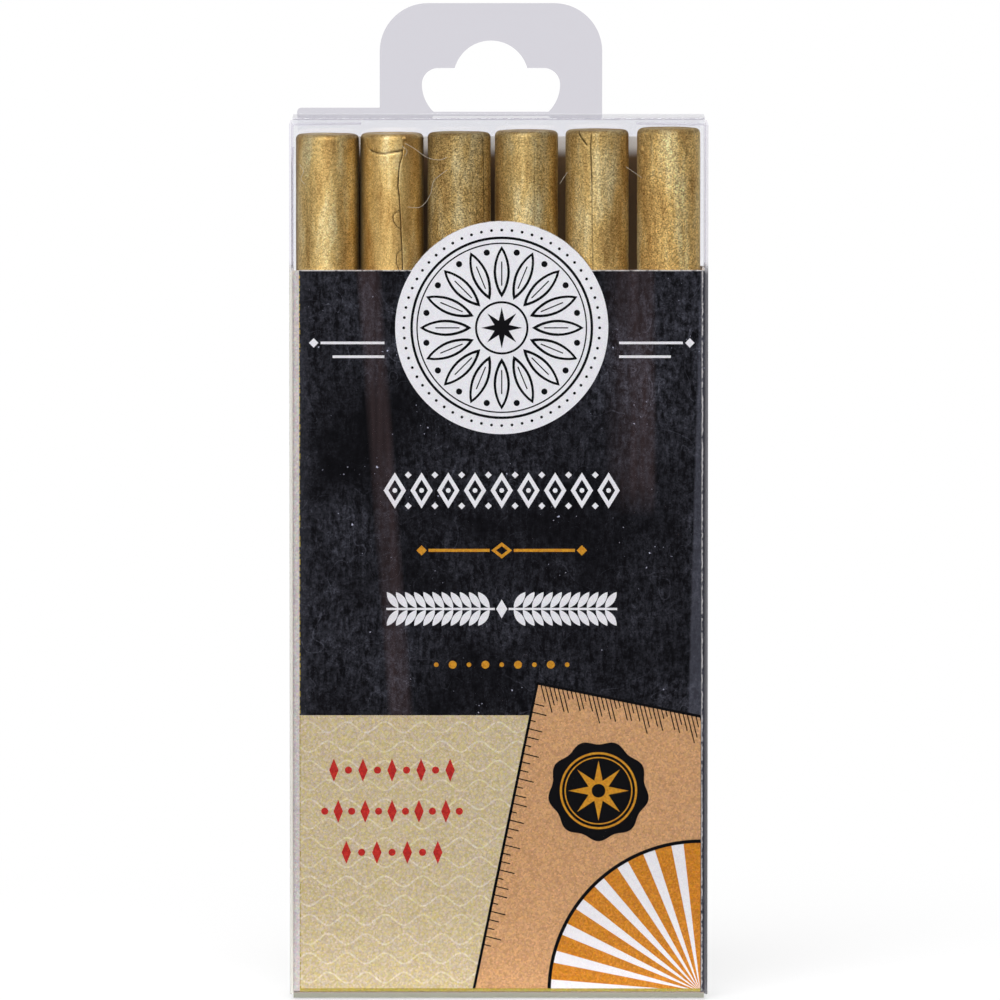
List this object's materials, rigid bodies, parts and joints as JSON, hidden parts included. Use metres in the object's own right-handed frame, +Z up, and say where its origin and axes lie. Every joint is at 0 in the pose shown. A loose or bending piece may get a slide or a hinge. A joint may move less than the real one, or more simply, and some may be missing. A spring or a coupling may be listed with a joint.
{
  "type": "sealing wax stick pack",
  "caption": "Clear hanging box of gold sealing wax gun sticks with a printed card wrapped round them, tuck-in lids at both ends and a slotted hang tab.",
  "frame": {"origin": "middle of the base that the box stands on", "axes": "+Z up to the hang tab, +X to the right seen from the front, the front faces -Y"},
  "size_m": [0.0486, 0.01, 0.1154],
  "materials": {
    "clear_sheet": "clear glossy plastic sheet, creased",
    "printed_card": "printed board, matt black front",
    "gold_wax": "cast wax with gold mica"
  },
  "bodies": {
    "box": {"front_panel": "clear_sheet", "back_panel": "clear_sheet", "hang_tab": "clear_sheet", "left_side_panel": "clear_sheet", "right_side_panel": "clear_sheet", "glue_flap": "clear_sheet"},
    "top_lid": {"top_lid": "clear_sheet"},
    "top_tuck_flap": {"top_tuck_flap": "clear_sheet"},
    "top_dust_flap_left": {"top_dust_flap_left": "clear_sheet"},
    "top_dust_flap_right": {"top_dust_flap_right": "clear_sheet"},
    "bottom_lid": {"bottom_lid": "clear_sheet"},
    "bottom_tuck_flap": {"bottom_tuck_flap": "clear_sheet"},
    "bottom_dust_flap_left": {"bottom_dust_flap_left": "clear_sheet"},
    "bottom_dust_flap_right": {"bottom_dust_flap_right": "clear_sheet"},
    "card": {"card_front": "printed_card", "card_side": "printed_card", "card_back": "printed_card"},
    "wax_stick_1": {"wax_stick_1": "gold_wax"},
    "wax_stick_2": {"wax_stick_2": "gold_wax"},
    "wax_stick_3": {"wax_stick_3": "gold_wax"},
    "wax_stick_4": {"wax_stick_4": "gold_wax"},
    "wax_stick_5": {"wax_stick_5": "gold_wax"},
    "wax_stick_6": {"wax_stick_6": "gold_wax"}
  },
  "joints": [
    {"name": "top_lid_crease", "type": "hinge", "parent": "box", "child": "top_lid", "pos_m": [0, -0.0049, 0.10232], "axis": [1, 0, 0], "range_deg": [0, 150]},
    {"name": "top_tuck_crease", "type": "hinge", "parent": "top_lid", "child": "top_tuck_flap", "pos_m": [0, 0.0039, 0.1022], "axis": [1, 0, 0], "range_deg": [-52.5, 0]},
    {"name": "top_dust_crease_left", "type": "hinge", "parent": "box", "child": "top_dust_flap_left", "pos_m": [-0.02416, 0, 0.10162], "axis": [0, -1, 0], "range_deg": [0, 60]},
    {"name": "top_dust_crease_right", "type": "hinge", "parent": "box", "child": "top_dust_flap_right", "pos_m": [0.02416, 0, 0.10162], "axis": [0, 1, 0], "range_deg": [0, 60]},
    {"name": "bottom_lid_crease", "type": "hinge", "parent": "box", "child": "bottom_lid", "pos_m": [0, -0.0049, 0.00013], "axis": [-1, 0, 0], "range_deg": [0, 150]},
    {"name": "bottom_tuck_crease", "type": "hinge", "parent": "bottom_lid", "child": "bottom_tuck_flap", "pos_m": [0, 0.0039, 0.00025], "axis": [-1, 0, 0], "range_deg": [-52.5, 0]},
    {"name": "bottom_dust_crease_left", "type": "hinge", "parent": "box", "child": "bottom_dust_flap_left", "pos_m": [-0.02416, 0, 0.00052], "axis": [0, 1, 0], "range_deg": [0, 60]},
    {"name": "bottom_dust_crease_right", "type": "hinge", "parent": "box", "child": "bottom_dust_flap_right", "pos_m": [0.02416, 0, 0.00052], "axis": [0, -1, 0], "range_deg": [0, 60]},
    {"name": "card_lift", "type": "slide", "parent": "box", "child": "card", "axis": [0, 0, 1], "range_m": [0, 0.0022]},
    {"name": "wax_stick_1_lift", "type": "slide", "parent": "box", "child": "wax_stick_1", "axis": [0, 0, 1], "range_m": [0, 0.001]},
    {"name": "wax_stick_2_lift", "type": "slide", "parent": "box", "child": "wax_stick_2", "axis": [0, 0, 1], "range_m": [0, 0.0009]},
    {"name": "wax_stick_3_lift", "type": "slide", "parent": "box", "child": "wax_stick_3", "axis": [0, 0, 1], "range_m": [0, 0.0015]},
    {"name": "wax_stick_4_lift", "type": "slide", "parent": "box", "child": "wax_stick_4", "axis": [0, 0, 1], "range_m": [0, 0.0013]},
    {"name": "wax_stick_5_lift", "type": "slide", "parent": "box", "child": "wax_stick_5", "axis": [0, 0, 1], "range_m": [0, 0.0012]},
    {"name": "wax_stick_6_lift", "type": "slide", "parent": "box", "child": "wax_stick_6", "axis": [0, 0, 1], "range_m": [0, 0.0003]}
  ],
  "couplings": [
    {"joint": "top_tuck_crease", "follows": "top_lid_crease", "ratio": -0.35},
    {"joint": "top_dust_crease_left", "follows": "top_lid_crease", "ratio": 0.4},
    {"joint": "top_dust_crease_right", "follows": "top_lid_crease", "ratio": 0.4},
    {"joint": "bottom_tuck_crease", "follows": "bottom_lid_crease", "ratio": -0.35},
    {"joint": "bottom_dust_crease_left", "follows": "bottom_lid_crease", "ratio": 0.4},
    {"joint": "bottom_dust_crease_right", "follows": "bottom_lid_crease", "ratio": 0.4}
  ]
}
